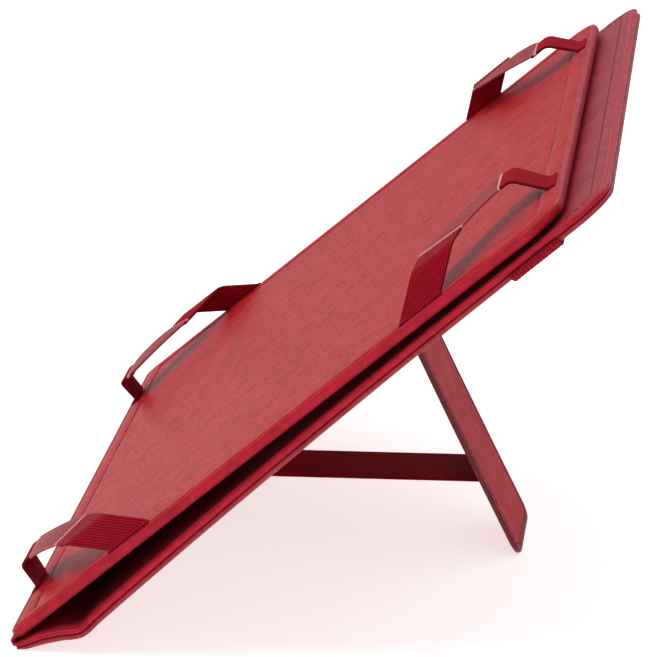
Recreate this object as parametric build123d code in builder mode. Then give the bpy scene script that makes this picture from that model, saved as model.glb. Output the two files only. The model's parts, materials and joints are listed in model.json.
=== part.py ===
from build123d import *
from math import atan2, cos, degrees, hypot, radians, sin, sqrt
import os

os.makedirs("parts", exist_ok=True)

# A folio case for a tablet, standing with its cover folded right back and its leg out.
# Lengths are in millimetres. The tablet leans back at `tilt` over the ground, Z = 0.
# The seat frame has u up the slope, Y across it and w out of the tablet's glass. Its
# origin is the middle of the glass's lower edge.

tilt = 42.7
tablet_width = 169.5
tablet_length = 240.0
tablet_depth = 7.5

# Panels
holder_margin_left = 5.5
holder_margin_right = 11.5
holder_margin_ends = 9.0
holder_length = tablet_length + 2 * holder_margin_ends
holder_corner = 12.0
holder_fold_corner = 4.0
sharpest_corner = 0.5
skin = 0.6
board = 1.1
pad = 0.6
lining = 0.5
rim_width = 2.2
rim_round = 0.9
thread = 0.5
thread_rise = 0.25
seam_inset = 2.9
past_face = 1.0

# Cover, measured along its bowed face from the fold
cover_run = 182.9
cover_rise = 5.2
cover_bow = 1.35
cover_length = 262.0
cover_corner = 12.0
cover_seam_inset = 5.5
cover_skin = 0.8
cover_board = 1.2
cover_pad = 0.6
cover_lining = 0.6

# Folds: the leather strip at the holder, the spine and the cover's fold
crease_length = 1.5
crease_round = 0.45
crease_angle = -104.5
fold_gap = 0.65
holder_fold = (-6.1, -9.3)
cover_fold = (10.6, -18.6)
cover_gap = 1.75
spine_lining_depth = (-1.5, -0.6)
spine_board_depth = (-0.6, 0.5)
spine_skin_depth = (0.5, 1.3)
spine_skin_start = 3.0
spine_length_y = 258.0

# Leg and its tie
leg_width = 40.0
leg_station = 95.7
leg_axis_depth = 1.2
leg_angle = -104.1
leg_skin = 0.4
leg_core = 0.7
leg_inner_face = 0.4
leg_start = 0.7
leg_corner = 5.0
leg_edge = 1.6
leg_anchor_length = 14.0
leg_anchor_depth = 0.8
tie_width = 26.0
tie_depth = 0.6
tie_station = 14.7
tie_leg_station = 59.5
tie_axis_depth = 0.55
tie_gap = 0.15
tie_anchor_length = 11.0

# Closure band
band_start = 150.0
band_width = 16.0
band_depth = 1.2
band_short = 1.5

# Corner straps: a leather patch across each corner with an elastic at each end. One
# elastic goes over the tablet's end, the other over its side. The patch is cut parallel
# to the side, and towards the end where and at the angle to it that end_cut gives.
strap_width = 13.0
strap_reach = 32.5
patch_depth = 1.0
patch_rise = 0.4
patch_from = 2.8
end_cut = {"left": (19.5, 45.0), "right": (21.9, 13.0)}
elastic_depth = 0.9
elastic_clear = 0.3
elastic_foot_width = 14.0
elastic_landing = 1.8
strap_joint = 0.1
end_bend_width = 14.0
end_bend_reach = {"left": 27.0, "right": 23.5}
end_foot_reach = {"left": 36.5, "right": 33.5}
side_bend_width = 16.0
side_bend_reach = 29.0
side_foot_reach = 27.5

# The ground lies this far under the fold between strip and spine, and the middle of
# the spine's flat land this far past it
ground_drop = 0.53
land_reach = 2.0


def turned(angle, length=1.0):
    return length * cos(radians(angle)), length * sin(radians(angle))


def past(point, angle, length):
    step = turned(angle, length)
    return point[0] + step[0], point[1] + step[1]


spine_fold = past(holder_fold, crease_angle, crease_length)
spine_angle = degrees(atan2(cover_fold[1] - spine_fold[1], cover_fold[0] - spine_fold[0]))
spine_length = hypot(cover_fold[0] - spine_fold[0], cover_fold[1] - spine_fold[1])
lean = radians(tilt)
ground_level = spine_fold[0] * sin(lean) + spine_fold[1] * cos(lean) - ground_drop
land_middle = spine_fold[0] * cos(lean) - spine_fold[1] * sin(lean) + land_reach


def world(u, w, y=0.0):
    x = u * cos(lean) - w * sin(lean) - land_middle
    z = u * sin(lean) + w * cos(lean) - ground_level
    return Vector(x, y, z)


uphill = Vector(cos(lean), 0, sin(lean))
outward = Vector(-sin(lean), 0, cos(lean))
across = Vector(0, 1, 0)
seat = Plane(origin=world(0, 0), x_dir=uphill, z_dir=outward)
side = Plane(origin=world(0, 0), x_dir=uphill, z_dir=(0, -1, 0))


def side_plane(point, angle):
    """A plane across the case with its origin at a seat frame point and x turned by angle."""
    direction = tilt + angle
    x_dir = (cos(radians(direction)), 0, sin(radians(direction)))
    return Plane(origin=world(*point), x_dir=x_dir, z_dir=(0, -1, 0))


# The cover's outward face is a shallow arc over its chord
cover_chord = hypot(cover_run, cover_rise)
cover_angle = degrees(atan2(cover_rise, cover_run))
cover_radius = (cover_chord**2 / 4 + cover_bow**2) / (2 * cover_bow)
cover_depth = cover_skin + cover_board + cover_pad + cover_lining
cover_foot = past(cover_fold, cover_angle - 90, cover_depth / 2)
cover_centre = past(
    past(cover_foot, cover_angle, cover_chord / 2), cover_angle + 90, cover_bow - cover_radius
)


def cover_point(station, height=0.0):
    """A point at a distance along the cover's outward face, raised off it towards the holder."""
    sweep = degrees((cover_chord / 2 - station) / cover_radius)
    return past(cover_centre, cover_angle + 90 + sweep, cover_radius + height)


leg_fold = cover_point(leg_station, -leg_axis_depth)
tie_fold = cover_point(tie_station, -tie_axis_depth)
tie_end = past(leg_fold, leg_angle, tie_leg_station)
tie_length = hypot(tie_end[0] - tie_fold[0], tie_end[1] - tie_fold[1])
tie_angle = degrees(atan2(tie_end[1] - tie_fold[1], tie_end[0] - tie_fold[0]))
tie_overlap = leg_station - tie_leg_station - tie_station
tie_upper_length = (tie_length + tie_overlap) / 2


def save(part, label):
    part.label = label
    export_step(part, f"parts/{label}.step")


# ---------------------------------------------------------------- holder panel
holder_left = -holder_margin_left
holder_right = tablet_width + holder_margin_right
holder_width = holder_right - holder_left
holder_middle = (holder_left + holder_right) / 2
holder_bottom = -tablet_depth - skin - board - pad - lining


def panel_outline(bottom, inset):
    """The holder's outline on a plane parallel to the glass, drawn inset from its edge.

    Its corners are tight along the fold and round at the far side.
    """
    with BuildSketch(seat.offset(bottom)) as outline:
        with Locations((holder_middle, 0)):
            Rectangle(holder_width - 2 * inset, holder_length - 2 * inset)
        fillet(outline.vertices().group_by(Axis.X)[0], max(holder_fold_corner - inset, sharpest_corner))
        fillet(outline.vertices().group_by(Axis.X)[-1], holder_corner - inset)
    return outline.sketch


def panel_ring(bottom, outer_inset, inner_inset):
    return panel_outline(bottom, outer_inset) - panel_outline(bottom, inner_inset)


with BuildPart() as holder_skin:
    extrude(panel_outline(holder_bottom, rim_width), amount=skin)
save(holder_skin.part, "holder_skin")

with BuildPart() as holder_board:
    extrude(panel_outline(holder_bottom + skin, rim_width), amount=board)
save(holder_board.part, "holder_board")

with BuildPart() as holder_pad:
    extrude(panel_outline(holder_bottom + skin + board, rim_width), amount=pad)
save(holder_pad.part, "holder_pad")

with BuildPart() as holder_lining:
    extrude(panel_outline(-tablet_depth - lining, rim_width), amount=lining)
save(holder_lining.part, "holder_lining")

with BuildPart() as holder_rim:
    extrude(panel_outline(holder_bottom, 0), amount=-tablet_depth - holder_bottom)
    flats = holder_rim.faces().sort_by(Axis(seat.origin, outward))
    fillet(flats[0].edges() + flats[-1].edges(), rim_round)
    extrude(
        panel_outline(holder_bottom - past_face, rim_width),
        amount=-tablet_depth - holder_bottom + 2 * past_face, mode=Mode.SUBTRACT,
    )
save(holder_rim.part, "holder_rim")

with BuildPart() as holder_thread:
    extrude(
        panel_ring(-tablet_depth, seam_inset - thread / 2, seam_inset + thread / 2),
        amount=thread_rise,
    )
save(holder_thread.part, "holder_thread")


# --------------------------------------------------------------- corner straps
def corner_frame(on_left, at_front):
    """The tablet's corner and the seat frame's inward directions along its two edges."""
    u = 0.0 if on_left else tablet_width
    y = -tablet_length / 2 if at_front else tablet_length / 2
    inward_u = uphill if on_left else uphill * -1
    inward_y = across if at_front else across * -1
    return world(u, 0, y), inward_u, inward_y


def strap_section(centre, width_dir, depth_dir, width, depth):
    """A face across a strap, its width and depth along the two given directions."""
    plane = Plane(origin=centre, x_dir=width_dir, z_dir=width_dir.cross(depth_dir))
    with BuildSketch(plane) as section:
        Rectangle(width, depth)
    return section.sketch


def elastic_sections(corner, inward, along, start, width_dir, start_width, bend, foot):
    """Faces along a band: under the patch, over the tablet's edge and down to the margin.

    start is a point, bend a reach along the edge and a width, foot a reach and a distance
    out from the edge.
    """
    middle = patch_rise + patch_depth / 2
    clear = elastic_clear + elastic_depth / 2
    landing = max(clear, foot[1] - elastic_landing)
    low = -tablet_depth + elastic_depth / 2
    bevel = (outward - inward).normalized()
    return [
        strap_section(start + outward * middle, width_dir, outward, start_width, elastic_depth),
        strap_section(
            corner - inward * clear + along * bend[0] + outward * clear,
            along, bevel, bend[1], elastic_depth * sqrt(2),
        ),
        strap_section(
            corner - inward * landing + along * foot[0] + outward * low,
            along, bevel, elastic_foot_width, elastic_depth * sqrt(2),
        ),
        strap_section(
            corner - inward * foot[1] + along * foot[0] + outward * low,
            along, outward, elastic_foot_width, elastic_depth,
        ),
    ]


def cut_half(angle):
    """Half the length of a cut across the strap, at an angle to the tablet's end."""
    return strap_width / sqrt(2) / (cos(radians(angle)) + sin(radians(angle)))


def patch_outline(on_left, at_front):
    """A leather patch's face: a strip across the corner between its two cuts."""
    u_sign = 1 if on_left else -1
    y_sign = 1 if at_front else -1
    corner_u = 0.0 if on_left else tablet_width
    corner_y = -y_sign * tablet_length / 2
    half = strap_width / sqrt(2)
    cut_at, cut_angle = end_cut["left" if on_left else "right"]
    step = turned(cut_angle, cut_half(cut_angle))
    far = (cut_at, strap_reach - cut_at)
    outline = [
        (patch_from, strap_reach - half - patch_from),
        (far[0] - step[0], far[1] - step[1]),
        (far[0] + step[0], far[1] + step[1]),
        (patch_from, strap_reach + half - patch_from),
    ]
    with BuildSketch(seat.offset(patch_rise)) as face:
        with BuildLine():
            Polyline(
                [(corner_u + u_sign * a, corner_y + y_sign * b) for a, b in outline], close=True
            )
        make_face()
    return face.sketch


for on_left, at_front in ((True, True), (True, False), (False, True), (False, False)):
    hand = "left" if on_left else "right"
    where = ("front_" if at_front else "back_") + hand
    corner, inward_u, inward_y = corner_frame(on_left, at_front)
    margin = holder_margin_left if on_left else holder_margin_right
    side_foot = margin - seam_inset - thread / 2 - tie_gap
    end_foot = holder_margin_ends - seam_inset - thread / 2 - tie_gap
    cut_at, cut_angle = end_cut[hand]
    cut_dir = turned(cut_angle)
    end_start = (
        corner
        + inward_u * (cut_at + strap_joint * cut_dir[1])
        + inward_y * (strap_reach - cut_at - strap_joint * cut_dir[0])
    )
    side_start = (
        corner + inward_u * (patch_from - strap_joint) + inward_y * (strap_reach - patch_from)
    )
    with BuildPart() as patch_part:
        extrude(patch_outline(on_left, at_front), amount=patch_depth)
    save(patch_part.part, f"patch_{where}")
    with BuildPart() as end_elastic:
        loft(elastic_sections(
            corner, inward_y, inward_u, end_start,
            inward_u * cut_dir[0] + inward_y * cut_dir[1], 2 * cut_half(cut_angle),
            (end_bend_reach[hand], end_bend_width), (end_foot_reach[hand], end_foot),
        ), ruled=True)
    save(end_elastic.part, f"elastic_{where}_end")
    with BuildPart() as side_elastic:
        loft(elastic_sections(
            corner, inward_u, inward_y, side_start, inward_y, side_bend_width,
            (side_bend_reach, side_bend_width), (side_foot_reach, side_foot),
        ), ruled=True)
    save(side_elastic.part, f"elastic_{where}_side")


# ------------------------------------------------------------- folds and spine
with BuildPart() as crease_leather:
    with BuildSketch(side_plane(holder_fold, crease_angle)):
        with Locations((crease_length / 2, 0)):
            SlotCenterToCenter(crease_length, 2 * crease_round)
    extrude(amount=spine_length_y / 2, both=True)
save(crease_leather.part, "crease_leather")


def spine_outline(depths, start):
    """One layer of the spine, seen from its end."""
    end = spine_length - fold_gap
    with BuildSketch(side_plane(spine_fold, spine_angle)) as outline:
        with Locations(((start + end) / 2, (depths[0] + depths[1]) / 2)):
            Rectangle(end - start, depths[1] - depths[0])
    return outline.sketch


# Each layer is cut flat on the ground where the case rests on it
with BuildPart() as spine_skin:
    extrude(spine_outline(spine_skin_depth, spine_skin_start), amount=spine_length_y / 2, both=True)
    split(bisect_by=Plane.XY, keep=Keep.TOP)
save(spine_skin.part, "spine_skin")

with BuildPart() as spine_board:
    extrude(spine_outline(spine_board_depth, fold_gap), amount=spine_length_y / 2, both=True)
    split(bisect_by=Plane.XY, keep=Keep.TOP)
save(spine_board.part, "spine_board")

with BuildPart() as spine_lining:
    extrude(spine_outline(spine_lining_depth, fold_gap), amount=spine_length_y / 2, both=True)
    split(bisect_by=Plane.XY, keep=Keep.TOP)
save(spine_lining.part, "spine_lining")


# ----------------------------------------------------------------- cover panel
def cover_section(low, high, start, end):
    """A bowed strip between two heights over the cover's outward face, seen from its end."""
    middle = (start + end) / 2
    with BuildSketch(side) as section:
        with BuildLine():
            ThreePointArc(cover_point(start, low), cover_point(middle, low), cover_point(end, low))
            Line(cover_point(end, low), cover_point(end, high))
            ThreePointArc(cover_point(end, high), cover_point(middle, high), cover_point(start, high))
            Line(cover_point(start, high), cover_point(start, low))
        make_face()
    return section.sketch


def corners_of(sheet):
    """A bowed sheet's four short edges, through its depth."""
    straight = sheet.edges().filter_by(GeomType.LINE)
    return straight.filter_by(lambda edge: abs(edge.tangent_at(0.5).Y) < 0.5)


layer_start = cover_gap + rim_width
layer_end = cover_chord - rim_width
layer_half = cover_length / 2 - rim_width
layer_corner = cover_corner - rim_width
pad_height = cover_lining + cover_pad
skin_height = cover_depth - cover_skin

with BuildPart() as cover_lining_sheet:
    extrude(cover_section(0, cover_lining, layer_start, layer_end), amount=layer_half, both=True)
    fillet(corners_of(cover_lining_sheet), layer_corner)
save(cover_lining_sheet.part, "cover_lining")

with BuildPart() as cover_pad_sheet:
    extrude(cover_section(cover_lining, pad_height, layer_start, layer_end), amount=layer_half, both=True)
    fillet(corners_of(cover_pad_sheet), layer_corner)
save(cover_pad_sheet.part, "cover_pad")

with BuildPart() as cover_board_sheet:
    extrude(cover_section(pad_height, skin_height, layer_start, layer_end), amount=layer_half, both=True)
    fillet(corners_of(cover_board_sheet), layer_corner)
save(cover_board_sheet.part, "cover_board")

with BuildPart() as cover_skin_sheet:
    extrude(cover_section(skin_height, cover_depth, layer_start, layer_end), amount=layer_half, both=True)
    fillet(corners_of(cover_skin_sheet), layer_corner)
save(cover_skin_sheet.part, "cover_skin")

with BuildPart() as rim_opening:
    extrude(
        cover_section(-past_face, cover_depth + past_face, layer_start, layer_end),
        amount=layer_half, both=True,
    )
    fillet(corners_of(rim_opening), layer_corner)

with BuildPart() as cover_rim:
    extrude(cover_section(0, cover_depth, cover_gap, cover_chord), amount=cover_length / 2, both=True)
    fillet(corners_of(cover_rim), cover_corner)
    add(rim_opening.part, mode=Mode.SUBTRACT)
save(cover_rim.part, "cover_rim")

seam_outer = cover_seam_inset - thread / 2
seam_inner = cover_seam_inset + thread / 2
with BuildPart() as thread_opening:
    extrude(
        cover_section(
            cover_depth - past_face, cover_depth + past_face,
            cover_gap + seam_inner, cover_chord - seam_inner,
        ),
        amount=cover_length / 2 - seam_inner, both=True,
    )
    fillet(corners_of(thread_opening), cover_corner - seam_inner)

with BuildPart() as cover_thread:
    extrude(
        cover_section(
            cover_depth, cover_depth + thread_rise, cover_gap + seam_outer, cover_chord - seam_outer
        ),
        amount=cover_length / 2 - seam_outer, both=True,
    )
    fillet(corners_of(cover_thread), cover_corner - seam_outer)
    add(thread_opening.part, mode=Mode.SUBTRACT)
save(cover_thread.part, "cover_thread")

with BuildPart() as closure_band:
    extrude(
        cover_section(-band_depth, 0, band_start, band_start + band_width),
        amount=cover_length / 2 - band_short, both=True,
    )
save(closure_band.part, "closure_band")

# ------------------------------------------------------------------- leg
with BuildPart() as leg_anchor:
    extrude(
        cover_section(-leg_anchor_depth, 0, leg_station, leg_station + leg_anchor_length),
        amount=leg_width / 2, both=True,
    )
    with BuildSketch(side):
        with Locations(leg_fold):
            Circle(crease_round)
    extrude(amount=leg_width / 2, both=True)
save(leg_anchor.part, "leg_anchor")

leg_depth = 2 * leg_skin + leg_core
leg_length = (world(*leg_fold).Z / sin(radians(-leg_angle - tilt))) + leg_depth
leg_side = side_plane(leg_fold, leg_angle)
leg_face = Plane(origin=leg_side.origin, x_dir=leg_side.x_dir, z_dir=leg_side.y_dir)
core_height = leg_inner_face + leg_skin


def leg_outline(height, inset):
    """The leg's face at a height over its fold's axis, inset from its edge, round at the foot."""
    with BuildSketch(leg_face.offset(height)) as outline:
        with Locations(((leg_start + leg_length) / 2, 0)):
            Rectangle(leg_length - leg_start - 2 * inset, leg_width - 2 * inset)
        fillet(outline.vertices().sort_by(Axis.X)[-2:], leg_corner - inset)
    return outline.sketch


# Each layer is cut flat on the ground where the leg stands
with BuildPart() as leg_inner_skin:
    extrude(leg_outline(leg_inner_face, 0), amount=leg_skin)
    split(bisect_by=Plane.XY, keep=Keep.TOP)
save(leg_inner_skin.part, "leg_inner_skin")

with BuildPart() as leg_core_sheet:
    extrude(leg_outline(core_height, leg_edge), amount=leg_core)
    split(bisect_by=Plane.XY, keep=Keep.TOP)
save(leg_core_sheet.part, "leg_core")

with BuildPart() as leg_edge_strip:
    extrude(leg_outline(core_height, 0), amount=leg_core)
    extrude(leg_outline(core_height, leg_edge), amount=leg_core, mode=Mode.SUBTRACT)
    split(bisect_by=Plane.XY, keep=Keep.TOP)
save(leg_edge_strip.part, "leg_edge")

with BuildPart() as leg_outer_skin:
    extrude(leg_outline(core_height + leg_core, 0), amount=leg_skin)
    split(bisect_by=Plane.XY, keep=Keep.TOP)
save(leg_outer_skin.part, "leg_outer_skin")

# --------------------------------------------------------------- tie strap
with BuildPart() as tie_anchor:
    extrude(
        cover_section(
            -tie_depth, 0, tie_station - tie_gap - tie_anchor_length, tie_station - tie_gap
        ),
        amount=tie_width / 2, both=True,
    )
save(tie_anchor.part, "tie_anchor_cover")


def tie_outline(start, end):
    """A flat run of the tie between two distances from its fold on the cover, seen from its end."""
    with BuildSketch(side_plane(tie_fold, tie_angle)) as outline:
        with Locations(((start + end) / 2, 0)):
            Rectangle(end - start, tie_depth)
    return outline.sketch


with BuildPart() as tie_upper:
    extrude(tie_outline(2 * tie_gap, tie_upper_length), amount=tie_width / 2, both=True)
save(tie_upper.part, "tie_upper")

with BuildPart() as tie_lower:
    extrude(
        tie_outline(tie_upper_length + tie_gap, tie_length - 2 * tie_gap),
        amount=tie_width / 2, both=True,
    )
save(tie_lower.part, "tie_lower")

with BuildPart() as tie_anchor_leg:
    with BuildSketch(leg_side):
        with Locations((
            tie_leg_station + tie_gap + tie_anchor_length / 2, leg_inner_face - tie_depth / 2
        )):
            Rectangle(tie_anchor_length, tie_depth)
    extrude(amount=tie_width / 2, both=True)
save(tie_anchor_leg.part, "tie_anchor_leg")
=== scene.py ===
import json
from cmath import exp, phase
from math import ceil, cos, degrees, hypot, pi, radians, sin, sqrt

import bmesh
import bpy
import numpy as np
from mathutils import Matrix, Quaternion, Vector, noise


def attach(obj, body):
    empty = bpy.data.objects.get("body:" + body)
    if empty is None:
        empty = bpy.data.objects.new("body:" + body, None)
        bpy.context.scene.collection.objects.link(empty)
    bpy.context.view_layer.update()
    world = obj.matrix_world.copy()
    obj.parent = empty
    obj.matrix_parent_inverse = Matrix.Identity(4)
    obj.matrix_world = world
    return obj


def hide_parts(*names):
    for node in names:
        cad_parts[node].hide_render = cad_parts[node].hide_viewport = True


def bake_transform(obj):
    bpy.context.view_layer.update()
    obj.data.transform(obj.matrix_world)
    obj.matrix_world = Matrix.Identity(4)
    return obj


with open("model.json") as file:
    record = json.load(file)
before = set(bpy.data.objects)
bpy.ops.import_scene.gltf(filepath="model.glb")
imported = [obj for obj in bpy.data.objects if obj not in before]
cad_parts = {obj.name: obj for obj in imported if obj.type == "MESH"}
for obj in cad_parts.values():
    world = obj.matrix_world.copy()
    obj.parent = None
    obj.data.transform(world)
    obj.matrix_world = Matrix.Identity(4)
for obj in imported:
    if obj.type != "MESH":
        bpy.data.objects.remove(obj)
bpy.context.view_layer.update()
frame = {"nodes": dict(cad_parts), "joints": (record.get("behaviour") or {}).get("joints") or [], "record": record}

mm = 0.001

# ---------------------------------------------------------------------------
# The frame. The case is drawn in the plane of X and Z, as a camera that looks
# along +Y sees it: a point there is a complex number, x + z * 1j, in metres.
# ---------------------------------------------------------------------------
record = frame["record"]
mounts = {m["name"]: m for m in record["mounts"]}


def flat(v):
    return complex(v[0], v[2])


def lift(point, y):
    return Vector((point.real, y, point.imag))


def turned(angle):
    return exp(1j * radians(angle))


def span(node, direction):
    """The lowest and highest reach of a CAD node along a direction."""
    reach = [v.co.dot(direction) for v in frame["nodes"][node].data.vertices]
    return min(reach), max(reach)


hinge = {j["name"]: flat(j["pos_m"]) for j in frame["joints"] if j["type"] == "hinge"}
outward = Vector(mounts["tablet_seat"]["axis"])
uphill = Vector((outward.z, 0, -outward.x))
across = Vector((0, 1, 0))
slope = flat(uphill)

# Holder: s runs up the slope from its lower edge, h out from its back
rim_u, rim_y, rim_w = (span("holder_rim", d) for d in (uphill, across, outward))
holder_length = rim_u[1] - rim_u[0]
holder_half = rim_y[1]
holder_depth = rim_w[1] - rim_w[0]
panel_corner = 12 * mm
fold_corner = 4 * mm
sharpest_corner = 0.5 * mm
rim_inset = 2.2 * mm


def on_holder(s, y, h):
    return uphill * (rim_u[0] + s) + across * y + outward * (rim_w[0] + h)


# Cover and spine: s runs from the fold between them, up the cover and back down
# the spine. h runs from the outward face, 0, to the face towards the holder.
cover_slope = 1.63
cover_bow = 1.35 * mm
cover_depth = 3.2 * mm
cover_half = span("cover_rim", across)[1]
cover_dir = slope * turned(cover_slope)
spine_dir = hinge["cover_fold"] - hinge["spine_turn"]
spine_length = abs(spine_dir)
spine_dir /= spine_length
cover_end = span("cover_rim", lift(cover_dir, 0))[1] - lift(hinge["cover_fold"], 0).dot(lift(cover_dir, 0))
fold_reach = 5.5 * mm
spine_bend = degrees(phase(spine_dir / cover_dir))
spine_tip = 0.5 * mm
spine_swell = 9 * mm
spine_taper = 0.3
spine_bow = 0.5 * mm


def smooth(t):
    t = min(1.0, max(0.0, t))
    return t * t * (3 - 2 * t)


def on_cover(s, y, h):
    """A point of the folio: the cover for s above 0, the spine below it, a curl between."""
    bow = cover_bow * 4 * max(s, 0) * (cover_end - s) / cover_end**2
    along = s + spine_length
    half = cover_depth / 2
    low, high = -half, half
    if s < 0:
        low = -min(half, spine_tip + spine_taper * along)
        high = spine_tip + (half - spine_tip) * smooth(along / spine_swell)
        bow = spine_bow * sin(pi * min(1, max(0, along / spine_length)))
    level = low + (high - low) * h / cover_depth + bow
    turn = spine_bend * (1 - smooth((s + fold_reach) / (2 * fold_reach)))
    return lift(hinge["cover_fold"] + cover_dir * turned(turn) * (s + 1j * level), y)


# ---------------------------------------------------------------------------
# Meshes
# ---------------------------------------------------------------------------
weld = 0.002 * mm
sharp_angle = 50


def make(name, material, slot, body=None, blend=None, replaces=(), points=(), faces=(), marks=None):
    """A smooth closed mesh piece. marks are values per point that its material reads."""
    mesh = bpy.data.meshes.new(name)
    mesh.from_pydata([tuple(p) for p in points], [], faces)
    for mark, values in (marks or {}).items():
        mesh.attributes.new(mark, "FLOAT", "POINT").data.foreach_set("value", values)
    bm = bmesh.new()
    bm.from_mesh(mesh)
    bmesh.ops.remove_doubles(bm, verts=bm.verts, dist=weld)
    bmesh.ops.dissolve_degenerate(bm, edges=bm.edges, dist=weld)
    bmesh.ops.recalc_face_normals(bm, faces=bm.faces)
    bm.to_mesh(mesh)
    bm.free()
    mesh.shade_smooth()
    mesh.set_sharp_from_angle(angle=radians(sharp_angle))
    piece = bpy.data.objects.new(name, mesh)
    bpy.context.scene.collection.objects.link(piece)
    mesh.materials.append(material)
    if blend:
        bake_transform(piece)
    else:
        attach(piece, body)
    if replaces:
        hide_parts(*replaces)
    return piece


def rows_mesh(rows, wrap_rows, wrap_points, caps):
    """Quads between rows of equally many points, with optional closing faces."""
    count = len(rows[0])
    points = [p for row in rows for p in row]
    faces = []
    for i in range(len(rows) if wrap_rows else len(rows) - 1):
        below = (i + 1) % len(rows)
        for j in range(count if wrap_points else count - 1):
            k = (j + 1) % count
            faces.append((i * count + j, i * count + k, below * count + k, below * count + j))
    if caps:
        faces.append(tuple(range(count)))
        faces.append(tuple(range(len(points) - 1, len(points) - count - 1, -1)))
    return points, faces


def outline(start, end, half, corner, inset, closed, step=5 * mm):
    """Points round a panel, inset from its edge. Open, it is a U that ends at the fold."""
    low = start + (inset if closed else 0)
    high = end - inset
    side = half - inset
    room = max(0, min((high - low) / 2, side))
    radius = min(room, max(corner - inset, 0))
    tight = min(room, max(fold_corner - inset, sharpest_corner))
    columns = ceil((end - start) / step)
    ranks = ceil(2 * half / step)
    turns = 9

    def line(a, b, count):
        return [(a[0] + (b[0] - a[0]) * i / count, a[1] + (b[1] - a[1]) * i / count) for i in range(count)]

    def arc(s, y, first, r=radius):
        angles = [radians(first + 90 * i / turns) for i in range(turns)]
        return [(s + r * cos(a), y + r * sin(a)) for a in angles]

    left = low + tight if closed else low
    points = line((left, -side), (high - radius, -side), columns)
    points += arc(high - radius, -side + radius, -90)
    points += line((high, -side + radius), (high, side - radius), ranks)
    points += arc(high - radius, side - radius, 0)
    points += line((high - radius, side), (left, side), columns)
    if closed:
        points += arc(low + tight, side - tight, 90, tight)
        points += line((low, side - tight), (low, -side + tight), ranks)
        points += arc(low + tight, -side + tight, 180, tight)
    else:
        points.append((left, side))
    return points


def panel(name, material, slot, place, size, profile, body, replaces=(), ring=False, relief=None, marks=None):
    """A panel piece: rings round its outline, one for each (inset, height) of the profile."""
    start, end, half, corner, closed = size
    rows = []
    for inset, height in profile:
        row = outline(start, end, half, corner, inset, closed)
        rows.append([place(s, y, height + (relief(s, y, inset, height) if relief else 0)) for s, y in row])
    points, faces = rows_mesh(rows, ring, closed, False)
    if not closed:
        count = len(rows[0])
        for j in (0, count - 1):
            cap = [i * count + j for i in range(len(rows))]
            faces.append(tuple(cap if j else reversed(cap)))
    values = {}
    for mark, value in (marks or {}).items():
        values[mark] = [value(inset, height) for inset, height in profile for _ in rows[0]]
    return make(name, material, slot, body, replaces=replaces, points=points, faces=faces, marks=values)


def insets(edge, fine, centre, step):
    """Distances in from the edge: fine ones as given, then evenly to the middle."""
    count = ceil((centre - fine[-1]) / step)
    return [edge + f for f in fine] + [
        edge + fine[-1] + (centre - edge - fine[-1]) * (i + 1) / count for i in range(count)
    ]


def oval(inset, height, half_inset, half_height, power=2.5, count=20):
    """A closed rounded section round a panel's edge, as (inset, height)."""
    section = []
    for i in range(count):
        a = 2 * pi * i / count
        x = abs(cos(a)) ** (2 / power) * (1 if cos(a) > 0 else -1)
        y = abs(sin(a)) ** (2 / power) * (1 if sin(a) > 0 else -1)
        section.append((inset - half_inset * x, height + half_height * y))
    return section


def stop(centre, side, up, width, depth):
    """A stop of a ribbon: where its middle is, two directions, and its width and depth there."""
    return np.array([*centre, *side, *up, width, depth])


def ribbon(name, material, slot, stops, width_points=24, ribs=0, rib_height=0.0, side_mark=1.0, end_mark=0.0,
           ragged=0.0, round_edge=0.45 * mm, **finish):
    """A strip lofted through its stops and closed at its ends.

    Its ribs run along it, ragged is how far its sides waver, and side_mark and end_mark
    are how far its material shows its edge colour there.
    """
    shoulder_angles = (0.5, 1.1)
    edge_share = 1.3
    waver_seed, waver_pace = 5.3, 0.61
    rows, edges, groove_shade_mask = [], [], []
    for index, values in enumerate(stops):
        centre, side, up = (Vector(values[k : k + 3]) for k in (0, 3, 6))
        side.normalize()
        up = (up - side * up.dot(side)).normalized()
        half, thick = values[9] / 2, values[10] / 2
        edge = min(round_edge, abs(thick), half / 2)
        at_end = end_mark if index in (0, len(stops) - 1) else 0.0
        top = []
        for i in range(width_points + 1):
            t = -1 + 2 * i / width_points
            ridge = rib_height * (cos(2 * pi * ribs * (t + 1) / 2) - 1) / 2 if ribs else 0
            top.append((t * (half - edge), thick + ridge))
        flare = edge * thick / abs(thick)
        shoulder = [(half - edge + edge * sin(a), thick - flare + flare * cos(a)) for a in shoulder_angles]
        right = shoulder + [(half, 0)] + [(x, -z) for x, z in reversed(shoulder)]
        section = top + right + [(x, -z) for x, z in reversed(top)] + [(-x, -z) for x, z in right]
        row = []
        for x, z in section:
            waver = ragged * noise.noise(Vector((index * waver_pace, x / half, waver_seed))) if ragged else 0
            row.append(centre + side * (x * (1 + waver / half)) + up * z)
            edges.append(max(at_end, side_mark if abs(x) > half - edge * edge_share else 0.0))
            # The groove mark is 1 in the hollows between ribs and over the strip's rounded sides, where a material
            # paints shade
            on_ribs = abs(x) <= half - edge
            groove_shade_mask.append((1 - cos(pi * ribs * (x / (half - edge) + 1))) / 2 if on_ribs else 1.0)
        rows.append(row)
    points, faces = rows_mesh(rows, False, True, True)
    marks = {"edge": edges, "groove_shade": groove_shade_mask}
    return make(name, material, slot, points=points, faces=faces, marks=marks, **finish)


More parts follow.
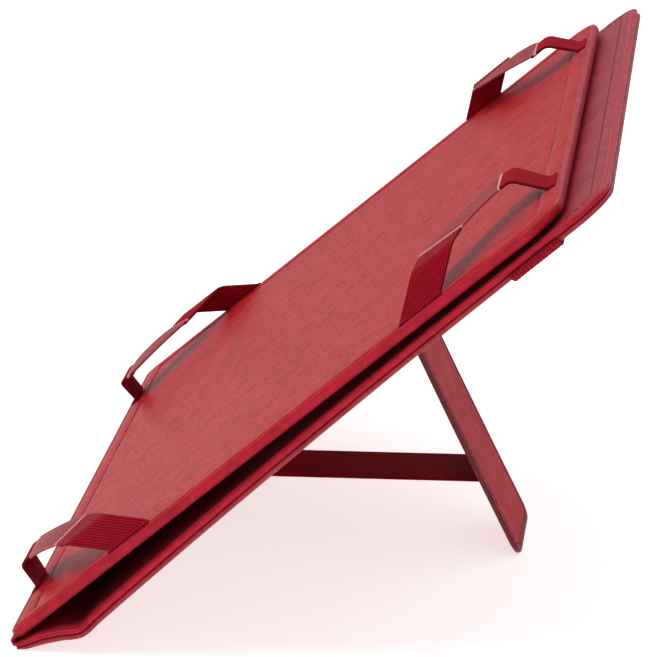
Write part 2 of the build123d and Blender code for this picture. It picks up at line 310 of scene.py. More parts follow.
def rounded(keys, radius, step):
    """Points or stops along straight runs between keys, each inner key cut by a smooth curve.

    A curve takes at most just under half of the run on each side of its key.
    """
    curve_steps = 8
    run_share = 2.02
    keys = [np.array(key, float) for key in keys]
    curve = [keys[0]]
    for before, key, after in zip(keys, keys[1:], keys[2:]):
        a, b = before - key, after - key
        run_a, run_b = np.linalg.norm(a[:3]), np.linalg.norm(b[:3])
        r = min(radius, run_a / run_share, run_b / run_share)
        a, b = key + a / run_a * r, key + b / run_b * r
        for t in (k / curve_steps for k in range(curve_steps + 1)):
            curve.append((1 - t) ** 2 * a + 2 * t * (1 - t) * key + t**2 * b)
    curve.append(keys[-1])
    full = [curve[0]]
    for origin, point in zip(curve, curve[1:]):
        count = max(1, ceil(np.linalg.norm((point - origin)[:3]) / step))
        full += [origin + (point - origin) * (k + 1) / count for k in range(count)]
    return full


def path_stops(path, width, depth):
    """Stops for a strip along points of the X, Z plane."""
    stops = []
    for i, point in enumerate(path):
        ahead = Vector(path[min(i + 1, len(path) - 1)]) - Vector(path[max(i - 1, 0)])
        stops.append(stop(point, across, Vector((-ahead.z, 0, ahead.x)).normalized(), width, depth))
    return stops


def stitches(name, material, slot, place, track, height, body, pitch, length, radius, replaces=()):
    """Sewn stitches along a track of (s, y) points, each a small bead drawn out along it."""
    points, faces = [], []
    sides, rings = 6, 5
    thinnest = 0.12
    walked, due = 0.0, pitch / 2
    for a, b in zip(track, track[1:]):
        run = hypot(b[0] - a[0], b[1] - a[1])
        while run > 1e-9 and due <= walked + run:
            t = (due - walked) / run
            s, y = a[0] + (b[0] - a[0]) * t, a[1] + (b[1] - a[1]) * t
            ds, dy = (b[0] - a[0]) / run, (b[1] - a[1]) / run
            base = len(points)
            for r in range(rings):
                reach = -cos(pi * r / (rings - 1))
                step_s, step_y = ds * reach * length / 2, dy * reach * length / 2
                thick = radius * max(thinnest, sqrt(max(0, 1 - reach**4)))
                for k in range(sides):
                    turn = 2 * pi * k / sides
                    off = thick * cos(turn)
                    rise = thick * sin(turn)
                    points.append(place(s + step_s - dy * off, y + step_y + ds * off, height + rise))
            for r in range(rings - 1):
                for k in range(sides):
                    n = (k + 1) % sides
                    row, above = base + r * sides, base + (r + 1) * sides
                    faces.append((row + k, row + n, above + n, above + k))
            faces.append(tuple(base + k for k in range(sides)))
            faces.append(tuple(base + (rings - 1) * sides + k for k in reversed(range(sides))))
            due += pitch
        walked += run
    return make(name, material, slot, body, replaces=replaces, points=points, faces=faces)


# ---------------------------------------------------------------------------
# Materials
# ---------------------------------------------------------------------------
def surface(name, dark, light, grain=0.5, bump=0.25, mottle=9, rough=(0.42, 0.6), worn=None, edge=None,
            weave=None, sheen=0.0, groove_shade=None, gloss=0.35):
    """Leather or cloth: mottled colour, fine grain and worn patches from noise, and colours where the mesh carries
    marks.

    grain, mottle and weave are sizes in millimetres, and rough is a range. The groove and edge colours show where
    the mesh carries the mark of that name; the groove colour is painted shade in the hollows between ribs and on a
    strip's rounded sides.
    """
    pore_size, speck_size, wear_size = 0.45, 1.1, 3.2
    bump_depth = 0.12 * mm
    material = bpy.data.materials.new(name)
    material.use_nodes = True
    nodes, links = material.node_tree.nodes, material.node_tree.links
    shader = nodes["Principled BSDF"]

    def node(kind, **inputs):
        n = nodes.new(kind)
        for key, value in inputs.items():
            n.inputs[key.replace("_", " ")].default_value = value
        return n

    def mix(factor, a, b, blend_type="MIX"):
        n = nodes.new("ShaderNodeMix")
        n.data_type = "RGBA"
        n.blend_type = blend_type
        for value, socket in ((factor, n.inputs[0]), (a, n.inputs[6]), (b, n.inputs[7])):
            if isinstance(value, bpy.types.NodeSocket):
                links.new(value, socket)
            else:
                socket.default_value = value
        return n.outputs[2]

    def ramp(value, low, high):
        n = nodes.new("ShaderNodeMapRange")
        links.new(value, n.inputs["Value"])
        n.inputs["From Min"].default_value = low
        n.inputs["From Max"].default_value = high
        return n.outputs["Result"]

    place = nodes.new("ShaderNodeTexCoord").outputs["Object"]

    def cloud(size, detail=4, roughness=0.6):
        n = node("ShaderNodeTexNoise", Scale=1 / (size * mm), Detail=detail, Roughness=roughness)
        links.new(place, n.inputs["Vector"])
        return n.outputs["Fac"]

    patches = ramp(cloud(mottle), 0.32, 0.68)
    speck = ramp(cloud(speck_size, 5, 0.7), 0.35, 0.7)
    colour = mix(patches, (*dark, 1), (*light, 1))
    colour = mix(ramp(cloud(pore_size, 3), 0.5, 0.78), colour, mix(0.45, colour, (*dark, 1)))
    if worn:
        wear = ramp(cloud(wear_size, 6, 0.75), 0.56, 0.74)
        colour = mix(wear, colour, mix(0.55, colour, (*worn, 1)))
    # The groove colour paints shade where the mesh marks rib hollows and rounded sides
    for mark_name, mark_colour in (("groove_shade", groove_shade), ("edge", edge)):
        if mark_colour:
            mark = nodes.new("ShaderNodeAttribute")
            mark.attribute_name = mark_name
            colour = mix(mark.outputs["Fac"], colour, (*mark_colour, 1))
    links.new(colour, shader.inputs["Base Color"])

    cells = node("ShaderNodeTexVoronoi", Scale=1 / (grain * mm))
    links.new(place, cells.inputs["Vector"])
    height = mix(0.45, cells.outputs["Distance"], cloud(grain * 0.6, 5, 0.65))
    if weave:
        bands = node("ShaderNodeTexWave", Scale=1 / (weave * mm), Distortion=1.5, Detail=2.0)
        links.new(place, bands.inputs["Vector"])
        height = mix(0.6, height, bands.outputs["Fac"])
    lift_node = node("ShaderNodeBump", Strength=bump, Distance=bump_depth)
    links.new(height, lift_node.inputs["Height"])
    links.new(lift_node.outputs["Normal"], shader.inputs["Normal"])

    finish = nodes.new("ShaderNodeMapRange")
    links.new(speck, finish.inputs["Value"])
    finish.inputs["To Min"].default_value, finish.inputs["To Max"].default_value = rough
    links.new(finish.outputs["Result"], shader.inputs["Roughness"])
    shader.inputs["Specular IOR Level"].default_value = gloss
    shader.inputs["Sheen Weight"].default_value = sheen
    shader.inputs["Sheen Roughness"].default_value = 0.45
    shader.inputs["Sheen Tint"].default_value = (*light, 1)
    return material


leather = surface("faux_leather", (0.26, 0.011, 0.018), (0.38, 0.028, 0.038),
                  worn=(0.44, 0.075, 0.085), sheen=0.08, gloss=0.28)
lining = surface("lining_leather", (0.33, 0.006, 0.012), (0.52, 0.017, 0.026),
                 worn=(0.56, 0.08, 0.06), mottle=6, grain=0.6, gloss=0.12)
rim = surface("rolled_edge", (0.30, 0.002, 0.012), (0.48, 0.006, 0.026),
              worn=(0.56, 0.05, 0.08), mottle=5, rough=(0.36, 0.52), gloss=0.2)
leg_leather = surface("leg_leather", (0.36, 0.016, 0.024), (0.50, 0.034, 0.042),
                      worn=(0.52, 0.07, 0.08), sheen=0.03, gloss=0.02)
# The elastic's groove colour is painted shade in the hollows between its ribs and on its sides
elastic = surface("ribbed_elastic", (0.36, 0.001, 0.012), (0.50, 0.003, 0.024), groove_shade=(0.15, 0.0005, 0.006),
                  mottle=3, rough=(0.6, 0.8), weave=0.35, bump=0.5, gloss=0.1)
patch_leather = surface("strap_leather", (0.22, 0.01, 0.016), (0.36, 0.022, 0.03), edge=(0.8, 0.4, 0.42),
                        worn=(0.42, 0.10, 0.09), mottle=3, gloss=0.12)
# A dark copy of the leg's leather for its turned edge: painted shade for the shadow on the edge's side
painted_shade_edge = surface("turned_edge_painted_shade", (0.10, 0.003, 0.009), (0.2, 0.008, 0.02), worn=(0.3, 0.04, 0.05), mottle=5)
thread = surface("sewing_thread", (0.07, 0.001, 0.004), (0.14, 0.003, 0.01), mottle=2, weave=0.3,
                 rough=(0.6, 0.8))
dark_leather = surface("tie_leather", (0.20, 0.0008, 0.005), (0.30, 0.002, 0.010), mottle=12,
                       rough=(0.6, 0.75), gloss=0.05)
fibreboard = surface("fibreboard", (0.10, 0.09, 0.08), (0.2, 0.18, 0.16), grain=0.9, rough=(0.8, 0.95))
foam = surface("foam", (0.06, 0.055, 0.055), (0.12, 0.11, 0.11), grain=0.35, rough=(0.9, 1.0), bump=0.6)

# The boards stay the CAD's own solids, inside the panels
for node_name, cad in frame["nodes"].items():
    cad.data.materials.clear()
    cad.data.materials.append(fibreboard if "board" in node_name else foam)


# ---------------------------------------------------------------------------
# Holder panel
# ---------------------------------------------------------------------------
holder = (0, holder_length, holder_half, panel_corner, True)
holder_middle = holder_length / 2
seam_depth = 0.35 * mm
puff = 0.3 * mm
quilt = 7.4 * mm
holder_seam = 1.6 * mm
groove_half = 0.7 * mm
seam_fade = 0.8 * mm
skin_depth = 0.6 * mm
pad_bottom = 1.72 * mm
pad_gap = 0.35 * mm
stitch_pitch, stitch_length, stitch_radius = 3.1 * mm, 2.4 * mm, 0.2 * mm


def dip(distance, centre, half_width, depth):
    """A sewn groove, by distance across it."""
    return -depth * max(0, 1 - abs(distance - centre) / half_width) ** 2


def padded(inset):
    """How far the sewn lining stands over its board, by distance in from the edge."""
    crown = puff * sin(pi * min(1, max(0, (inset - holder_seam) / (quilt - holder_seam)))) ** 0.8
    sunk = seam_depth * (1 - smooth((inset - holder_seam) / seam_fade))
    return crown - sunk + dip(inset, quilt, groove_half, 0.28 * mm)


# Insets of a face's rings: close together at its seam and over its sewn grooves
fine = [d * mm for d in (0, 0.25, 0.5, 0.9, 1.5, 2.2, 3, 3.8, 4.4, 4.7, 4.95, 5.2, 5.45, 5.7, 6.1, 7, 9)]


def sheet_profile(top, bottom, middle, shape, edge=rim_inset, step=6 * mm):
    """A thin closed sheet: its shaped top from the middle out, then its flat underside."""
    distances = insets(edge, fine, middle, step)
    upper = [(d, top + shape(d)) for d in reversed(distances)]
    lower = [(d, bottom) for d in (edge, edge + 1 * mm, middle / 2, middle)]
    return upper + [(edge - 0.05 * mm, (top + bottom) / 2)] + lower


def soft(s, y, inset):
    """Slow unevenness of a soft face, none at its sewn edge."""
    height = 0
    for size, rise, seed in ((34 * mm, 0.16 * mm, 3.1), (11 * mm, 0.06 * mm, 7.7)):
        height += rise * noise.noise(Vector((s / size, y / size, seed)))
    return height * smooth((inset - rim_inset) / (6 * mm))


def level_face(inset):
    return 0


lining_bottom = holder_depth - 0.5 * mm
panel("holder_lining_face", lining, "lining_red", on_holder, holder,
      sheet_profile(holder_depth, lining_bottom - 0.3 * mm, holder_middle, padded, holder_seam), "holder",
      ("holder_lining",), relief=lambda s, y, inset, h: soft(s, y, inset) if h > lining_bottom else 0)
panel("holder_padding", foam, "foam", on_holder, holder,
      sheet_profile(lining_bottom - pad_gap, pad_bottom, holder_middle, level_face, holder_seam), "holder",
      ("holder_pad",))
panel("holder_outer_leather", leather, "leather_red", on_holder, holder,
      sheet_profile(skin_depth, 0, holder_middle, level_face, holder_seam), "holder", ("holder_skin",))
panel("holder_rolled_edge", rim, "leather_rim", on_holder, holder,
      oval(0.9 * mm, holder_depth / 2, 0.9 * mm, holder_depth / 2), "holder", ("holder_rim",), ring=True)
track = outline(0, holder_length, holder_half, panel_corner, holder_seam + 1 * mm, True)
stitches("holder_stitches", thread, "thread_red", on_holder, track + track[:1], holder_depth - 0.1 * mm,
         "holder", stitch_pitch, stitch_length, stitch_radius, ("holder_thread",))
track = outline(0, holder_length, holder_half, panel_corner, quilt, True)
stitches("holder_quilting", thread, "thread_red", on_holder, track + track[:1], holder_depth - 0.25 * mm,
         "holder", stitch_pitch, 2.5 * mm, stitch_radius)

# ---------------------------------------------------------------------------
# Cover panel
# ---------------------------------------------------------------------------
cover = (fold_reach, cover_end, cover_half, panel_corner, False)
cover_seam = 5.5 * mm
cover_puff = 0.1 * mm
skin_low = cover_depth - 0.8 * mm
seam_level = 1.5 * mm
roll_half = 1.2 * mm
outer_roll = oval(roll_half, (cover_depth + seam_level) / 2, roll_half, (cover_depth - seam_level) / 2)
lining_roll = oval(roll_half + 0.15 * mm, seam_level / 2, roll_half, seam_level / 2)


def edge_sink(inset):
    return seam_depth * (1 - smooth((inset - rim_inset) / (1 * mm)))


def cover_face(inset):
    raised = cover_puff * smooth((inset - cover_seam) / (4 * mm))
    return raised + dip(inset, cover_seam, groove_half, 0.3 * mm) - edge_sink(inset)


def flipped(profile):
    return [(inset, -height) for inset, height in profile]


panel("cover_outer_leather", leather, "leather_red", on_cover, cover,
      sheet_profile(cover_depth, skin_low, cover_half, cover_face), "cover", ("cover_skin",),
      relief=lambda s, y, inset, h: 0.5 * soft(s, y, inset) if h > skin_low + 0.2 * mm else 0)
panel("cover_lining_face", leather, "lining_red", on_cover, cover,
      flipped(sheet_profile(0, -skin_depth, cover_half, lambda inset: -edge_sink(inset))), "cover",
      ("cover_lining",))
panel("cover_padding", foam, "foam", on_cover, cover,
      sheet_profile(1.18 * mm, 0.65 * mm, cover_half, level_face), "cover", ("cover_pad",))
panel("cover_edge_outer", rim, "leather_rim", on_cover, cover, outer_roll, "cover", ("cover_rim",), ring=True)
panel("cover_edge_lining", leather, "leather_rim", on_cover, cover, lining_roll, "cover", ("cover_rim",),
      ring=True)
track = outline(*cover[:4], cover_seam, False)
stitches("cover_stitches", thread, "thread_red", on_cover, track, cover_depth - 0.16 * mm, "cover",
         2.6 * mm, 2.0 * mm, 0.27 * mm, ("cover_thread",))

# ---------------------------------------------------------------------------
# Fold and spine
# ---------------------------------------------------------------------------
fold_blend = ("spine", "cover", on_cover(-fold_reach, 0, seam_level), on_cover(fold_reach, 0, seam_level))
fold_steps, spine_steps, half_steps = 24, 14, 60
fold_path = [fold_reach * (-1 + 2 * i / fold_steps) for i in range(fold_steps + 1)]
spine_start = 1.2 * mm - spine_length
spine_path = [spine_start + (-fold_reach - spine_start) * i / spine_steps for i in range(spine_steps + 1)]


def folio_strip(name, material, slot, path, low, high, half, edge=0.3 * mm, **finish):
    """A strip of the folio between two heights, over its whole length in Y."""
    rows = []
    middle = (low + high) / 2
    thick = (high - low) / 2
    ys = [half * (-1 + 2 * i / half_steps) for i in range(half_steps + 1)]
    end_angles = (0.7, 1.57, 2.44)
    for s in path:
        ends = [(half + edge * sin(a), middle + thick * cos(a)) for a in end_angles]
        other_ends = [(-y, 2 * middle - h) for y, h in ends]
        section = [(y, high) for y in ys] + ends + [(-y, low) for y in ys] + other_ends
        rows.append([on_cover(s, y, h) for y, h in section])
    points, faces = rows_mesh(rows, False, True, True)
    return make(name, material, slot, points=points, faces=faces, **finish)


def folio_edge(name, material, path, section, side, **finish):
    """A rolled edge of the folio along a path, at its front, -1, or its back, 1."""
    rows = [[on_cover(s, side * (cover_half - inset), h) for inset, h in section] for s in path]
    points, faces = rows_mesh(rows, False, True, True)
    return make(name, material, "leather_rim", points=points, faces=faces, **finish)


inner_half = cover_half - rim_inset
for where, path, finish, nodes in (
    ("fold", fold_path, {"blend": fold_blend}, ((), (), ())),
    ("spine", spine_path, {"body": "spine"}, (("spine_skin",), ("spine_lining",), ("spine_board",))),
):
    folio_strip(f"{where}_outer_leather", leather, "leather_red", path, skin_low,
                cover_depth - seam_depth / 2, inner_half, replaces=nodes[0], **finish)
    folio_strip(f"{where}_lining", leather, "lining_red", path, seam_depth / 2, 0.7 * mm, inner_half,
                replaces=nodes[1], **finish)
    if where == "spine":
        folio_strip("spine_stiffener", fibreboard, "board_grey", path[1:-1], 0.8 * mm, skin_low - 0.1 * mm,
                    inner_half - 1 * mm, replaces=nodes[2], **finish)
    for side, end in ((-1, "front"), (1, "back")):
        folio_edge(f"{where}_edge_outer_{end}", rim, path, outer_roll, side, **finish)
        folio_edge(f"{where}_edge_lining_{end}", leather, path, lining_roll, side, **finish)

# The leather that joins holder and spine, in two bends round the strip between them
h1, h2 = hinge["cover_turn"], hinge["spine_turn"]
crease_middle = (h1 + h2) / 2
crease_depth = 0.75 * mm
crease_width = 2 * holder_half - 1.2 * mm
holder_root, spine_root = 2.6 * mm, 3.5 * mm
bend_end = 0.9 * mm
for name, keys, blend in (
    ("holder_fold_leather", (h1 + slope * holder_root, h1, crease_middle),
     ("holder", "crease", lift(h1 + slope * bend_end, 0), lift(crease_middle, 0))),
    ("spine_fold_leather", (crease_middle, h2, h2 + spine_dir * spine_root),
     ("crease", "spine", lift(crease_middle, 0), lift(h2 + spine_dir * bend_end, 0))),
):
    path = rounded([lift(p, 0) for p in keys], 0.7 * mm, 0.25 * mm)
    ribbon(name, leather, "leather_red", path_stops(path, crease_width, crease_depth), width_points=40,
           blend=blend, replaces=("crease_leather",))

# ---------------------------------------------------------------------------
# Closure elastic, across the cover's outward face and turned up over its edges
# ---------------------------------------------------------------------------
band_at, band_width, band_depth = 158 * mm, 16 * mm, 1.2 * mm
band_turn = cover_half + 0.25 * mm
band_level = -band_depth / 2
band_ribs = 15


def band_stop(y, h, lean):
    """A stop of the closure band at an angle of lean degrees round the cover's edge."""
    along = (on_cover(band_at + band_width / 2, y, 0) - on_cover(band_at - band_width / 2, y, 0)).normalized()
    out = along.cross(across).normalized()
    up = out * cos(radians(lean)) + across * sin(radians(lean))
    return stop(on_cover(band_at, y, h), along, up, band_width, band_depth)


half_keys = [(band_turn, seam_level - 0.3 * mm, 88), (band_turn, 0, 80),
             (band_turn - 1.2 * mm, band_level, 20), (cover_half * 0.9, band_level, 0)]
band_keys = [band_stop(-y, h, -lean) for y, h, lean in half_keys]
band_keys += [band_stop(y, h, lean) for y, h, lean in reversed(half_keys)]
ribbon("closure_elastic", elastic, "elastic_red", rounded(band_keys, 0.8 * mm, 1.5 * mm), width_points=90,
       ribs=band_ribs, rib_height=0.13 * mm, body="cover", replaces=("closure_band",))

# ---------------------------------------------------------------------------
# Corner straps
# ---------------------------------------------------------------------------
tablet_width, tablet_length, tablet_depth = 169.5 * mm, 240 * mm, 7.5 * mm
seat_middle = Vector(mounts["tablet_seat"]["pos_m"])
strap_width, strap_reach = 13 * mm, 32.5 * mm
patch_rise, patch_depth, patch_from = 0.4 * mm, 1 * mm, 2.8 * mm
patch_level = tablet_depth + patch_rise + patch_depth / 2
end_cut = {"left": (19.5 * mm, 45), "right": (21.9 * mm, 13)}
elastic_depth = 0.9 * mm
elastic_ribs = 12
elastic_lap, elastic_tuck, elastic_trim = 2 * mm, 0.2 * mm, 0.4 * mm
foot_width = 14 * mm
foot_landing = 2.2 * mm
bends = {"left": (27 * mm, 14 * mm), "right": (23.5 * mm, 14 * mm), "side": (29 * mm, 16 * mm)}
foot_reaches = {"left": 36.5 * mm, "right": 33.5 * mm, "side": 27.5 * mm}
bend_out = 0.75 * mm
foot_sink = 0.3 * mm


def strap_path(corner, inward, along, start, start_side, start_width, bend, foot):
    """Stops of an elastic from under its patch, over the tablet's edge and down to its foot.

    bend is a reach along the edge and a width, foot a reach and a distance out from the edge.
    """
    bevel = (outward - inward).normalized()
    level = elastic_depth / 2 + puff - foot_sink
    first = corner + inward * start[0] + along * start[1] + outward * (patch_level - elastic_tuck)
    over = corner - inward * bend_out + along * bend[0] + outward * (tablet_depth + bend_out)
    back = (first - over).normalized()
    landing = corner - inward * max(bend_out, foot[1] - foot_landing) + along * foot[0] + outward * level
    end = corner - inward * foot[1] + along * foot[0] + outward * (level - 0.2 * mm)
    keys = (
        (first + back * elastic_lap, start_side, outward, start_width - elastic_trim),
        (first, start_side, outward, start_width - elastic_trim),
        (over, along, bevel, bend[1]),
        (landing, along, bevel, foot_width),
        (end, along, outward, foot_width),
    )
    return rounded([stop(*key, elastic_depth) for key in keys], 2.4 * mm, 0.5 * mm)


patch_steps = 24
patch_crown = 0.35 * mm
for end, y_sign in (("front", -1), ("back", 1)):
    for hand, u_sign in (("left", -1), ("right", 1)):
        where = f"{end}_{hand}"
        strap = f"strap_{where}"
        corner = seat_middle + uphill * u_sign * tablet_width / 2 + across * y_sign * tablet_length / 2
        inward_u, inward_y = uphill * -u_sign, across * -y_sign
        rim_out = {
            "side": abs((seat_middle.dot(uphill) + u_sign * tablet_width / 2) - rim_u[(u_sign + 1) // 2]),
            "end": holder_half - tablet_length / 2,
        }
        cut_at, cut_angle = end_cut[hand]
        cut_side = inward_u * cos(radians(cut_angle)) + inward_y * sin(radians(cut_angle))
        ends = (
            (corner + inward_u * patch_from + inward_y * (strap_reach - patch_from), inward_y),
            (corner + inward_u * cut_at + inward_y * (strap_reach - cut_at), cut_side),
        )
        stops = []
        for i in range(patch_steps + 1):
            t = i / patch_steps
            side = ends[0][1].lerp(ends[1][1], t).normalized()
            thick = patch_depth * (1 - 0.25 * (2 * t - 1) ** 6)
            level = outward * (patch_level + patch_crown * sin(pi * t))
            width = strap_width * sqrt(2) / side.dot(inward_u + inward_y)
            stops.append(stop(ends[0][0].lerp(ends[1][0], t) + level, side, outward, width, thick))
        ribbon(f"strap_patch_{where}", patch_leather, "patch_red", stops, width_points=30, body=strap,
               replaces=(f"patch_{where}",), side_mark=0.15, end_mark=1, ragged=0.22 * mm)
        cut_width = strap_width * sqrt(2) / cut_side.dot(inward_u + inward_y)
        end_start, side_start = (strap_reach - cut_at, cut_at), (patch_from, strap_reach - patch_from)
        for kind, inward, along, start, side, width, size in (
            ("end", inward_y, inward_u, end_start, cut_side, cut_width, hand),
            ("side", inward_u, inward_y, side_start, inward_y, bends["side"][1], "side"),
        ):
            foot = (foot_reaches[size], rim_out[kind] - rim_inset)
            path = strap_path(corner, inward, along, start, side, width, bends[size], foot)
            held = corner - inward * foot[1] * 0.7 + along * foot[0]
            free = corner + inward * (start[0] - 0.6 * mm) + along * start[1] + outward * patch_level
            ribbon(f"elastic_band_{where}_{kind}", elastic, "elastic_red", path, width_points=72,
                   ribs=elastic_ribs, rib_height=0.2 * mm, blend=("holder", strap, held, free),
                   replaces=(f"elastic_{where}_{kind}",), ragged=0.08 * mm)

# ---------------------------------------------------------------------------
# Leg
# ---------------------------------------------------------------------------
leg_angle = -104.1
leg_dir = slope * turned(leg_angle)
leg_low, leg_high = 0.4 * mm, 1.9 * mm
leg_start, leg_half, leg_corner = 0.7 * mm, 20 * mm, 5 * mm
leg_bow = 0.25 * mm
leg_neck, leg_shoulder = 3 * mm, 14 * mm
leg_skin = 0.4 * mm
core_low, core_high = 0.86 * mm, 1.42 * mm
leg_axis = hinge["leg_fold"]
leg_end = (leg_axis.imag + leg_low * leg_dir.real) / -leg_dir.imag
leg_edge = 1.5 * mm


def on_leg(x, y, h):
    """x runs down the leg from its fold, h over the fold's axis, away from the spine."""
    bow = leg_bow * sin(pi * min(1, max(0, x / leg_end)))
    neck = 1 - leg_neck / leg_half * (1 - smooth(x / leg_shoulder))
    return lift(leg_axis + leg_dir * (x + 1j * (h - bow)), y * neck)


leg = (leg_start, leg_end, leg_half, leg_corner, False)
leg_fine = [d * mm for d in (0, 0.25, 0.5, 0.9, 1.5, 2.5, 4)]


def leg_sheet(outer, inner, edge):
    """A leg layer between two heights: its visible face first, sunk where it meets the edge."""
    sink = 0.25 * mm if outer > inner else -0.25 * mm
    distances = insets(edge, leg_fine, leg_half, 4 * mm)
    face = [(d, outer - sink * (1 - smooth((d - edge) / seam_fade))) for d in reversed(distances)]
    return face + [(edge, inner), (leg_half, inner)]


panel("leg_face_outer", leg_leather, "leather_red", on_leg, leg,
      leg_sheet(leg_high, leg_high - leg_skin, leg_edge), "leg", ("leg_outer_skin",))
panel("leg_face_inner", leg_leather, "leather_red", on_leg, leg,
      leg_sheet(leg_low, leg_low + leg_skin, leg_edge), "leg", ("leg_inner_skin",))
core_inset = leg_edge + 0.3 * mm
panel("leg_stiffener", fibreboard, "board_grey", on_leg, leg,
      [(leg_half, core_high), (core_inset, core_high), (core_inset, core_low), (leg_half, core_low)],
      "leg", ("leg_core",))
edge_roll = oval(leg_edge / 2, (leg_low + leg_high) / 2, leg_edge / 2 + 0.1 * mm,
                 (leg_high - leg_low) / 2 + 0.08 * mm)
# The leg's turned edge takes the dark copy of its leather, painted shade
panel("leg_turned_edge", painted_shade_edge, "leather_rim", on_leg, leg, edge_roll, "leg", ("leg_edge",), ring=True)
track = outline(leg_start + 2 * mm, leg_end, leg_half, leg_corner, leg_edge + 0.8 * mm, False)
for name, height in (("outer", leg_high), ("inner", leg_low)):
    stitches(f"leg_stitches_{name}", thread, "thread_red", on_leg, track, height, "leg", 2.8 * mm, 2.1 * mm,
             0.12 * mm)

# The hinge leather is sewn to the cover's outward face, bends at the fold and runs into the leg
hinge_keys = [on_cover(109.7 * mm, 0, -0.4 * mm), on_cover(97.7 * mm, 0, -0.45 * mm), lift(leg_axis, 0),
              on_leg(7 * mm, 0, 1.1 * mm)]
ribbon("leg_hinge_leather", leg_leather, "leather_red",
       path_stops(rounded(hinge_keys, 1.4 * mm, 0.4 * mm), 2 * (leg_half - leg_neck) - 0.6 * mm, -0.8 * mm),
       width_points=24, blend=("cover", "leg", on_cover(97.2 * mm, 0, 0), on_leg(2 * mm, 0, 0)),
       replaces=("leg_anchor",))

# ---------------------------------------------------------------------------
# Tie between cover and leg
# ---------------------------------------------------------------------------
tie_width, tie_depth = 26 * mm, 0.6 * mm
tie_top, tie_middle = hinge["tie_fold_cover"], hinge["tie_fold_middle"]
tie_foot = 59.5 * mm
tie_end = flat(on_leg(tie_foot, 0, 0)) + 1j * leg_dir * (leg_bow * sin(pi * tie_foot / leg_end))
tie_dir = (tie_end - tie_top) / abs(tie_end - tie_top)
tie_split = tie_top + tie_dir * 25 * mm
tie_bend = 2.2 * mm
tie_waver = 0.1 * mm
root_keys = [on_cover(3.6 * mm, 0, -0.35 * mm), on_cover(14.2 * mm, 0, -0.35 * mm), lift(tie_top, 0),
             lift(tie_split, 0)]
ribbon("tie_sewn_end_and_root", dark_leather, "strap_dark",
       path_stops(rounded(root_keys, 1.5 * mm, 0.6 * mm), tie_width, tie_depth), width_points=26,
       blend=("cover", "tie_upper", on_cover(12.7 * mm, 0, -0.3 * mm), lift(tie_top + tie_dir * 3 * mm, 0)),
       replaces=("tie_anchor_cover", "tie_upper"), ragged=tie_waver)
# The run starts just inside the root's end and stops just short of the leg's sewn end
run_keys = [lift(tie_split - tie_dir * 0.2 * mm, 0), lift(tie_end - tie_dir * 0.25 * mm, 0)]
ribbon("tie_run", dark_leather, "strap_dark",
       path_stops(rounded(run_keys, 1 * mm, 0.8 * mm), tie_width - 0.05 * mm, tie_depth - 0.02 * mm),
       width_points=26,
       blend=("tie_upper", "tie_lower", lift(tie_middle - tie_dir * tie_bend, 0),
              lift(tie_middle + tie_dir * tie_bend, 0)),
       replaces=("tie_upper", "tie_lower"), ragged=tie_waver)
sewn_end = [on_leg(x * mm, 0, leg_low - tie_depth / 2) for x in (59.6, 60.2, 63, 66, 69, 70.7)]
ribbon("tie_sewn_end_leg", dark_leather, "strap_dark", path_stops(sewn_end, tie_width, tie_depth),
       width_points=26, body="leg", replaces=("tie_anchor_leg",), ragged=tie_waver)

# ---------------------------------------------------------------------------
# Stage
# ---------------------------------------------------------------------------
def floor(half, grey, glow):
    """A pale floor that glows a little, so that it stays close to white."""
    corners = [(-half, -half, 0), (half, -half, 0), (half, half, 0), (-half, half, 0)]
    mesh = bpy.data.meshes.new("floor")
    mesh.from_pydata(corners, [], [(0, 1, 2, 3)])
    pale = bpy.data.materials.new("pale_floor")
    pale.use_nodes = True
    inputs = pale.node_tree.nodes["Principled BSDF"].inputs
    inputs["Base Color"].default_value = (grey, grey, grey, 1)
    inputs["Roughness"].default_value = 0.8
    inputs["Emission Color"].default_value = (1, 1, 1, 1)
    inputs["Emission Strength"].default_value = glow
    mesh.materials.append(pale)
    piece = bpy.data.objects.new("floor", mesh)
    bpy.context.scene.collection.objects.link(piece)


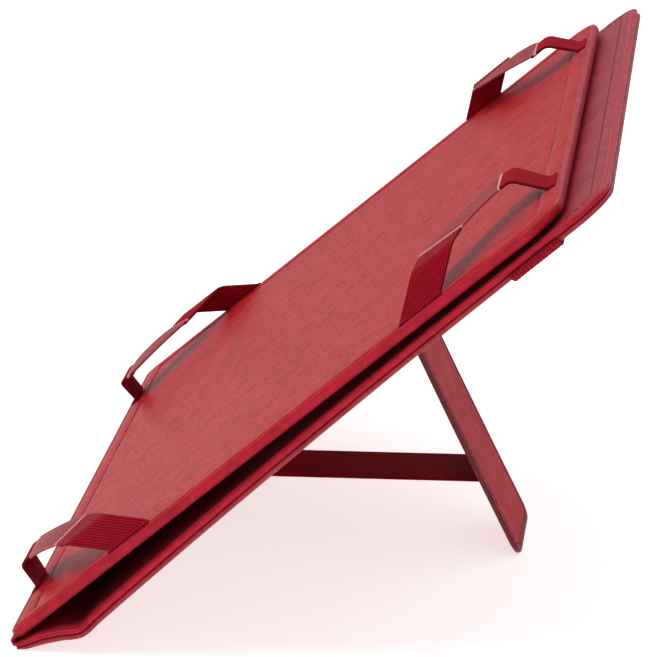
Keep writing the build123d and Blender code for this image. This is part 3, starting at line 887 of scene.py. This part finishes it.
def lamp(name, place, size, power):
    """A round soft lamp that shines on the middle of the case."""
    light = bpy.data.lights.new(name, "AREA")
    light.shape = "DISK"
    light.size = size
    light.energy = power
    lamp_object = bpy.data.objects.new(name, light)
    bpy.context.scene.collection.objects.link(lamp_object)
    lamp_object.location = place
    lamp_object.rotation_mode = "QUATERNION"
    lamp_object.rotation_quaternion = (lamp_aim - Vector(place)).to_track_quat("-Z", "Y")


lamp_aim = Vector((0.06, 0, 0.06))
floor(6.0, 0.7, 0.68)
lamp("key_light", (-0.5, -0.45, 1.25), 0.7, 8.5)
lamp("fill_light", (0.9, -1.2, 0.6), 0.9, 1)
lamp("back_light", (0.3, 1.0, 1.2), 0.9, 5)

# The sky is white to the camera and lights the case at half that strength
sky_light, sky_seen = 0.5, 1.0
scene = bpy.context.scene
scene.world = bpy.data.worlds.new("studio")
scene.world.use_nodes = True
sky = scene.world.node_tree
sky.nodes["Background"].inputs["Color"].default_value = (1, 1, 1, 1)
seen = sky.nodes.new("ShaderNodeLightPath")
strength = sky.nodes.new("ShaderNodeMapRange")
strength.inputs["To Min"].default_value = sky_light
strength.inputs["To Max"].default_value = sky_seen
sky.links.new(seen.outputs["Is Camera Ray"], strength.inputs["Value"])
sky.links.new(strength.outputs["Result"], sky.nodes["Background"].inputs["Strength"])
scene.view_settings.view_transform = "Standard"

# The camera's angle and roll in degrees, and its focal length in widths of the image
azimuth, elevation, roll = radians(4.984), radians(15.289), radians(2.932)
camera_aim = Vector((66.08, 0, 58.35)) * mm
camera_distance = 1213.2 * mm
focal_widths = 4200 / 658
forward = Vector((-sin(azimuth) * cos(elevation), cos(azimuth) * cos(elevation), -sin(elevation)))
lens = bpy.data.cameras.new("camera")
lens.sensor_width = 36
lens.lens = lens.sensor_width * focal_widths
lens.clip_start, lens.clip_end = 0.05, 50
camera = bpy.data.objects.new("camera", lens)
scene.collection.objects.link(camera)
camera.location = camera_aim - forward * camera_distance
camera.rotation_mode = "QUATERNION"
camera.rotation_quaternion = forward.to_track_quat("-Z", "Y") @ Quaternion((0, 0, 1), roll)
scene.camera = camera
